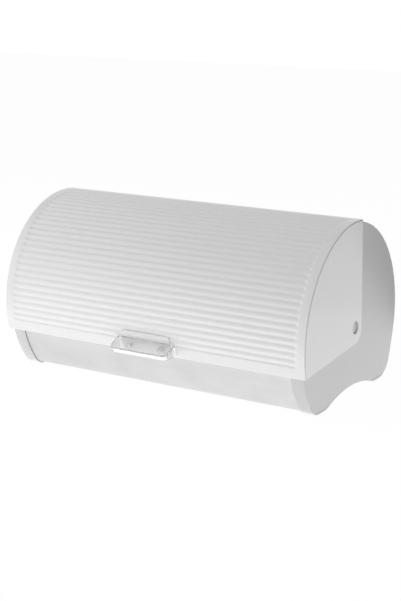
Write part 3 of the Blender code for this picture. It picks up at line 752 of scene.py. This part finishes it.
screwLook = {
    "head": 0.003, "headDepth": 0.0016, "shank": 0.0015, "length": 0.008, "sunk": 0.0002, "hole": 0.0075,
    "cross": (0.0032, 0.0012),                     # size and depth
    "rearAngles": (18.0, 66.0), "archShares": (-0.45, 0.45),
}
padLook = {
    "radius": 0.0045, "thickness": 0.002, "proud": 0.0006, "place": 0.072,
    # height and radius over the face that it stands on, which has two ring grooves
    "sole": ((0.0003, 0), (0.0003, 0.0008), (0, 0.0011), (0, 0.0019), (0.0003, 0.0022), (0.0003, 0.0027),
             (0, 0.0030)),
    "edge": ((0, 0.0005), (0.00015, 0.00015), (0.0005, 0)),    # height, and distance in from the side
}
capLook = {
    "wall": 0.003, "rim": 0.0032, "edge": 0.0012, "rimEdge": 0.0005,
    "dish": 0.0134, "dishDepth": 0.0055, "dishEdge": 0.0004, "hubFloor": 0.0035, "boss": 0.0194,
    "pocket": 0.0164, "pocketFrom": 84.25, "pocketTo": 215.75, "bore": 0.0040,
}
rimMiddle = (capFace + rimEnd) / 2


def shellScrewPlaces(x):
    # Heads on the rim's surface, facing in: up the rear and on the arch.
    places = []
    for angle in screwLook["rearAngles"]:
        places.append(((x, *spot(capRadius, angle)), outward(angle, -1)))
    for share in screwLook["archShares"]:
        angle = 90 - math.degrees(math.asin(share * archEnd / crownRadius))
        places.append(((x, *spot(crownRadius, angle, (sectionLook["archShift"], crownZ))), outward(angle)))
    return places


def screwHole(origin, direction):
    look, over = screwLook, fit["overrun"]
    head, shank = look["head"] + fit["gap"], look["shank"] + fit["gap"]
    hole = [(-over, 0), (-over, head), (look["sunk"], head), (look["sunk"] + look["headDepth"], shank),
            (look["hole"], shank), (look["hole"], 0)]
    return placed(turned(hole, 24), origin, direction)


def makeEndCap():
    look = capLook
    inside = capFace - look["wall"]
    drawSection(capFace, 0, 90, 90)
    closeUp()
    drawBy(x=rimEnd - capFace)
    roundOff(lambda place: near(place.x, capFace), look["edge"], 4)
    roundOff(lambda place: near(place.x, rimEnd), look["rimEdge"], 3)
    pick(lambda place: near(place.x, rimEnd), "FACE")
    bpy.ops.mesh.inset(thickness=look["rim"] - look["rimEdge"])
    drawBy(x=inside - rimEnd)
    faceOut()
    cap = finishEdit("endCapRight")

    floor = capFace - look["dishDepth"]
    hubInside = floor - look["hubFloor"]
    root = inside + look["wall"] / 2
    boss = [(hubInside, 0), (hubInside, look["boss"]), (root, look["boss"]), (root, 0)]
    cut(cap, turned(boss, roundSteps), "UNION")
    mouth, over = look["dish"] + look["dishEdge"], fit["overrun"]
    dish = [(capFace + over, 0), (capFace + over, mouth), (capFace, mouth),
            (capFace - look["dishEdge"], look["dish"]), (floor, look["dish"]), (floor, look["bore"]),
            (hubInside - over, look["bore"]), (hubInside - over, 0)]
    cut(cap, turned(dish, roundSteps))
    cut(cap, sectorTool(floor + fit["gap"], capFace + over - floor - fit["gap"], look["pocket"],
                        look["pocketFrom"], look["pocketTo"]))
    seat = padLook["thickness"] - padLook["proud"] + fit["gap"]
    wide = padLook["radius"] + fit["gap"]
    for y in (-1, 1):
        hole = turned([(-over, 0), (-over, wide), (seat, wide), (seat, 0)], 32)
        cut(cap, placed(hole, (rimMiddle, hingeY + y * padLook["place"], hingeZ - footDrop), (0, 0, 1)))
    for origin, direction in shellScrewPlaces(rimMiddle):
        cut(cap, screwHole(origin, direction))
    return smoothed(cap)


capRight = makeEndCap()
capLeft = crossOver(copied(capRight, "endCapLeft"))
dressed(capRight, greyAbs, "body", "end_cap_right")
dressed(capLeft, greyAbs, "body", "end_cap_left")

print("stage: body shell")
shellLook = {
    "sheet": 0.0008, "inset": 0.0035, "front": 190.0, "rear": 92.0,
    "step": 0.0023, "stepRun": 0.0004,             # at both ends the sheet steps down under the caps' rims
    "frontRail": 0.008, "rearRail": 0.006, "bend": 0.0012,
    "ventAngle": 30.0, "ventRadius": 0.0025, "ventPitch": 0.016, "vents": 9,
}
flushRadius = capRadius - shellLook["inset"] + shellLook["step"]


def makeBodyShell():
    look = shellLook
    radius = capRadius - look["inset"]
    flush, step = rimEnd - fit["gap"], flushRadius / radius
    drawSection(-shellEnd, look["inset"], look["front"], look["rear"])
    drawTo(spot(radius - look["rearRail"], look["rear"]))
    pick(lambda place: nearAngle(place, look["front"]) and near(radiusOf(place), radius))
    drawTo(spot(radius - look["frontRail"], look["front"]))
    pick(lambda place: near(radiusOf(place), radius)
         and (nearAngle(place, look["front"]) or nearAngle(place, look["rear"])))
    bpy.ops.mesh.bevel(offset=look["bend"], segments=5, affect="VERTICES")
    selectAll()
    for run, size in ((shellEnd - flush, 1), (look["stepRun"], step), (2 * (flush - look["stepRun"]), 1),
                      (look["stepRun"], 1 / step), (shellEnd - flush, 1)):
        drawBy(x=run)
        bpy.ops.transform.resize(value=(1, size, size), center_override=(0, hingeY, hingeZ))
    shell = finishSheet("bodyShellSheet", 1)
    applied(shell, "SOLIDIFY", thickness=look["sheet"], offset=-1, use_even_offset=True)
    over, through = fit["overrun"], look["sheet"] + fit["overrun"]
    for i in range(look["vents"]):
        x = (i - (look["vents"] - 1) / 2) * look["ventPitch"]
        vent = [(-over, 0), (-over, look["ventRadius"]), (through, look["ventRadius"]), (through, 0)]
        cut(shell, placed(turned(vent, 32), (x, *spot(flushRadius, look["ventAngle"])),
                          outward(look["ventAngle"], -1)))
    for side in (-1, 1):
        for origin, direction in shellScrewPlaces(side * rimMiddle):
            cut(shell, screwHole(origin, direction))
    return smoothed(shell)


dressed(makeBodyShell(), brushedSteel, "body", "body_shell")

print("stage: handle")
handleLook = {
    "width": 0.074, "topRise": 0.0164, "drop": 0.0089, "lip": 0.0054, "wall": 0.002,
    "corner": 0.006, "edge": 0.0006, "innerCorner": 0.0045,
    "lipFace": 0.0008,                             # from the lip's front to its slanted inner face
    "plateWidth": 0.062, "plate": 0.001, "plateRise": 0.0239, "plateCorner": 0.004, "plateEdge": 0.0005,
    "fillet": 0.0012,                              # between the hood's top and the plate
    "screwRise": 0.007, "screwSpacing": 0.040, "boss": 0.0035, "bossHeight": 0.0045, "bossFloor": 0.001,
    "bossTip": ((0.0006, 0), (0.0002, 0.0002), (0, 0.0007)),    # below the tip, and in from the boss's side
    "screwShank": 0.002, "screwTip": 0.0004, "screwHead": 0.0037, "screwHeadDepth": 0.0022,
    "screwDome": ((0, 0.0014), (0.0003, 0.0005), (0.0009, 0)),  # above the screw's face, and in from its side
    "cross": (0.0038, 0.0014),                     # size and depth of the screws' cross recess
    "washer": 0.0042, "washerThickness": 0.0006,
}
handleBack = lidRadius + fit["gap"]


def upFromEdge(rise):
    # The angle of a place that far up the lid's sheet from its lower edge.
    return lidPanelLook["front"] - math.degrees(rise / lidRadius)


screwAngle = upFromEdge(handleLook["screwRise"])


def ontoScrew(piece, side):
    # Carries a turned body onto one of the handle's screw axes, its x measured out from the hinge axis.
    return placed(piece, (side * handleLook["screwSpacing"] / 2, hingeY, hingeZ), outward(screwAngle))


def lipPrism(frontY, ceiling, lowZ):
    # The lip is a solid prism, swept along the hood's front and round its corners: its slanted inner face
    # throws the light of the table out through the front.
    look = handleLook
    half, corner, depth = look["width"] / 2, look["corner"], look["lipFace"]
    over = 0.0005
    section = [(frontY - over, ceiling + depth), (frontY - over, lowZ - over),
               (frontY + depth + ceiling - lowZ + over, lowZ - over), (frontY, ceiling + depth)]
    startPath(half - corner, section[0])
    for place in (*section[1:], section[0]):
        drawTo(place)
    mergeDoubles()
    for end in (1, -1):
        pick(lambda place: near(place.x, half - corner), "EDGE")
        if end < 0:
            drawBy(x=-2 * (half - corner))
        bpy.ops.mesh.spin(steps=8, angle=-end * math.radians(90), axis=(0, 0, 1),
                          center=(end * (half - corner), frontY + corner, 0))
        bpy.ops.mesh.edge_face_add()
    faceOut()
    return finishEdit()


def makeHandle():
    look = handleLook
    half, wall = look["width"] / 2, look["wall"]
    root = handleBack + look["plate"] / 2
    topAngle, plateTop = upFromEdge(look["topRise"]), upFromEdge(look["plateRise"])
    topY, topZ = spot(root, topAngle)
    frontY = hingeY - handleFront
    lipZ = topZ - look["drop"]
    lowZ = lipZ - look["lip"]
    lowAngle = 180 + math.degrees(math.asin((hingeZ - lowZ) / root))
    slope = look["drop"] / (topY - frontY)

    # Hood: sloping top, front lip and two end walls
    startPath(-half, spot(root, lowAngle))
    swingOut((0, 0), topAngle - lowAngle, 4)
    jointY = spot(handleBack + look["plate"], topAngle)[0]
    joint = (jointY, topZ + (jointY - topY) * slope)
    drawTo(spot(root, topAngle - math.degrees(look["fillet"] / root)))
    for share in quarters:
        up, out = look["fillet"] * (1 - share) ** 2, look["fillet"] * share ** 2
        drawTo((joint[0] - out, joint[1] - out * slope + up))
    drawTo((frontY, lipZ))
    drawTo((frontY, lowZ))
    closeUp()
    drawBy(x=2 * half)
    for end in (-half, half):
        roundOff(lambda place: near(place.y, frontY) and near(place.x, end), look["corner"], 6)
    roundOff(lambda place: near(place.z - topZ, (place.y - topY) * slope, 0.0001)
             and place.y < topY - 0.0001 or near(place.z, topZ) and near(abs(place.x), half), look["edge"], 3)
    roundOff(lambda place: near(place.z, lowZ) and place.y < hingeY - handleBack, look["edge"], 3)
    faceOut()
    handle = finishEdit("lidHandleHood")

    # Finger room under the hood, open below and at the back
    under = wall * math.hypot(1, slope)
    backY, openZ = topY + 2 * fit["overrun"], lowZ - fit["overrun"]
    startPath(wall - half, (backY, openZ))
    drawTo((backY, topZ + slope * (backY - topY) - under))
    roomY, ceiling = frontY + look["lipFace"], lipZ + slope * look["lipFace"] - under
    drawTo((roomY, ceiling))
    drawTo((roomY, openZ))
    closeUp()
    drawBy(x=2 * (half - wall))
    for end in (wall - half, half - wall):
        roundOff(lambda place: near(place.y, roomY) and near(place.x, end), look["innerCorner"], 5)
    faceOut()
    room = finishEdit()
    cut(room, lipPrism(frontY, ceiling, lowZ))
    cut(handle, room)

    # Back plate with two screw bosses
    plateHalf = look["plateWidth"] / 2
    startPath(-plateHalf, spot(handleBack, plateTop))
    swingOut((0, 0), lowAngle - plateTop, 8)
    drawTo(spot(handleBack + look["plate"], lowAngle))
    swingOut((0, 0), plateTop - lowAngle, 8)
    closeUp()
    drawBy(x=look["plateWidth"])
    for end in (-plateHalf, plateHalf):
        roundOff(lambda place: nearAngle(place, plateTop) and near(place.x, end), look["plateCorner"], 6)
    cornerEnd = plateTop + math.degrees(look["plateCorner"] / handleBack) + 0.05   # just below its corners
    roundOff(lambda place: near(radiusOf(place), handleBack + look["plate"])
             and (angleOf(place) < cornerEnd or near(abs(place.x), plateHalf)), look["plateEdge"], 3)
    faceOut()
    cut(handle, finishEdit(), "UNION")
    tip = handleBack + look["plate"] + look["bossHeight"]
    bore = look["screwShank"] + fit["gap"]
    for side in (-1, 1):
        boss = [(root, 0), (root, look["boss"]),
                *((tip - down, look["boss"] - aside) for down, aside in look["bossTip"]), (tip, 0)]
        cut(handle, ontoScrew(turned(boss, 32), side), "UNION")
        start, end = lidRadius - fit["overrun"], tip - look["bossFloor"]
        hole = [(start, 0), (start, bore), (end, bore), (end, 0)]
        cut(handle, ontoScrew(turned(hole, 24), side))
    return smoothed(handle, 40)


lidHandle = dressed(makeHandle(), clearAcrylic, "lid", "lid_handle")
lidHandle.visible_shadow = False                   # the light goes on to what lies behind the clear plastic

print("stage: pins, washers, clips, screws, pads and bumpers")
pinLook = {
    "head": 0.0059, "headDepth": 0.0026, "headEdge": 0.0003, "shank": 0.0037, "tail": 0.1762, "edge": 0.0006,
    "dome": 0.0002,                                # the head's middle stands that far above its rim
    "washer": 0.0125, "washerThickness": 0.0007,
    "clip": 0.008, "clipEdge": 0.0002, "clipThickness": 0.001, "clipPlace": 0.1792, "bore": 0.0040,
}
bumperLook = {
    "radius": 0.0038, "edge": 0.0006, "place": 0.150, "rise": 0.005,
    "tip": ((0.00005, 0.0014), (0.0002, 0.0005)),  # below its tip, and in from its side
}
# a blade's width and its foot as shares of its length, and how far it stands out of the head
crossLook = {"blade": 0.28, "taper": 0.55, "over": 0.0001}


def makeCross(size, depth, x):
    # A cross recess's cutter: two tapered blades along the axis of the piece, its mouth at x.
    blades = []
    narrow, foot = size * crossLook["blade"], crossLook["taper"]
    for across, high in ((size, narrow), (narrow, size)):
        clearSelection()
        bpy.ops.mesh.primitive_cube_add(size=1, location=(x + depth / 2, hingeY, hingeZ),
                                        scale=(depth, across, high))
        bpy.ops.object.transform_apply(location=True, rotation=False, scale=True)
        editMesh()
        pick(lambda place: near(place.x, x + depth))
        bpy.ops.transform.resize(value=(1, foot, foot), center_override=(x + depth, hingeY, hingeZ))
        blades.append(finishEdit())
    return blades


def makePivot(label, side):
    look = pinLook
    seat = cheekFace - cheekLook["recessDepth"] + fit["gap"]
    top, edge, headEdge, bore = seat + look["headDepth"], look["edge"], look["headEdge"], look["bore"]
    dome = [(top + look["dome"] * (1 - share ** 2), share * look["head"]) for share in quarters[:4]]
    pin = [*dome, (top, look["head"] - headEdge), (top - headEdge, look["head"]), (seat, look["head"]),
           (seat, look["shank"]), (look["tail"] + edge, look["shank"]), (look["tail"], look["shank"] - edge),
           (look["tail"], 0)]
    pin = smoothed(turned(pin, roundSteps, "pivotPin" + label))
    place = capFace - capLook["dishDepth"] + fit["gap"]
    end = place + look["washerThickness"]
    washer = [(place, bore), (place, look["washer"]), (end, look["washer"]), (end, bore), (place, bore)]
    washer = smoothed(turned(washer, roundSteps, "pivotWasher" + label))
    place = look["clipPlace"]
    end = place + look["clipThickness"]
    clip = [(place, bore), (place, look["clip"] - look["clipEdge"]), (place + look["clipEdge"], look["clip"]),
            (end, look["clip"]), (end, bore), (place, bore)]
    clip = smoothed(turned(clip, 48, "pivotClip" + label))
    if side < 0:
        for piece in (pin, washer, clip):
            crossOver(piece)
    name = label.lower()
    dressed(pin, pinNylon, "body", "pivot_pin_" + name)
    dressed(washer, washerNylon, "body", "pivot_washer_" + name)
    dressed(clip, zincSteel, "body", "pivot_clip_" + name)


def makeShellScrew():
    look = screwLook
    low = look["sunk"] + look["headDepth"]
    screw = turned([(look["sunk"], 0), (look["sunk"], look["head"]), (low, look["shank"]),
                    (look["length"] - look["shank"], look["shank"]), (look["length"], look["shank"] / 2),
                    (look["length"], 0)], 32, "shellScrew")
    for blade in makeCross(*look["cross"], look["sunk"] - crossLook["over"]):
        cut(screw, blade)
    return smoothed(screw)


def makeFootPad():
    look = padLook
    profile = [*look["sole"], *((up, look["radius"] - aside) for up, aside in look["edge"]),
               (look["thickness"], look["radius"]), (look["thickness"], 0)]
    return smoothed(turned(profile, 48, "footPad"))


for side, label in sides:
    makePivot(label, side)

screw = makeShellScrew()
pad = makeFootPad()
for side, label in sides:
    for number, (origin, direction) in enumerate(shellScrewPlaces(side * rimMiddle), start=1):
        piece = placed(copied(screw, f"shellScrew{label}{number}"), origin, direction)
        dressed(piece, zincSteel, "body", f"shell_screw_{label.lower()}_{number}")
    for end, y in (("Front", -1), ("Rear", 1)):
        place = (side * rimMiddle, hingeY + y * padLook["place"], 0)
        piece = placed(copied(pad, f"footPad{end}{label}"), place, (0, 0, 1))
        dressed(piece, padRubber, "body", f"foot_pad_{end.lower()}_{label.lower()}")
for pattern in (screw, pad):
    bpy.data.objects.remove(pattern, do_unlink=True)


def makeHandleScrews():
    look = handleLook
    seat = lidRadius - lidPanelLook["sheet"] - fit["gap"]
    under = seat - look["washerThickness"]
    head = under - fit["gap"]
    face = head - look["screwHeadDepth"]
    tip = handleBack + look["plate"] + look["bossHeight"] - look["bossFloor"] - fit["gap"]
    wide, shank, end = look["screwHead"], look["screwShank"], look["screwTip"]
    for side, label in sides:
        profile = [(face, 0), *((face + up, wide - aside) for up, aside in look["screwDome"]), (head, wide),
                   (head, shank), (tip - end, shank), (tip, shank - end), (tip, 0)]
        screw = turned(profile, 32, "handleScrew" + label)
        for blade in makeCross(*look["cross"], face - crossLook["over"]):
            cut(screw, blade)
        screw = smoothed(ontoScrew(screw, side))
        dressed(screw, whiteEnamel, "lid", "handle_screw_" + label.lower())
        bore = shank + fit["gap"]
        ring = [(under, bore), (under, look["washer"]), (seat, look["washer"]), (seat, bore), (under, bore)]
        washer = smoothed(ontoScrew(turned(ring, 32, "handleWasher" + label), side))
        dressed(washer, washerNylon, "lid", "handle_washer_" + label.lower())


def makeBumpers():
    look = bumperLook
    angle = upFromEdge(look["rise"])
    top = lidRadius - sum(lidPanelLook["frontHem"]) - fit["gap"]
    base = top - flushRadius - fit["gap"]
    for side, label in sides:
        profile = [(0, 0), *((down, look["radius"] - aside) for down, aside in look["tip"]),
                   (look["edge"], look["radius"]), (base, look["radius"]), (base, 0)]
        bumper = smoothed(turned(profile, 32, "lidBumper" + label))
        bumper = placed(bumper, (side * look["place"], *spot(top, angle)), outward(angle, -1))
        dressed(bumper, bumperSilicone, "body", "lid_bumper_" + label.lower())


makeHandleScrews()
makeBumpers()
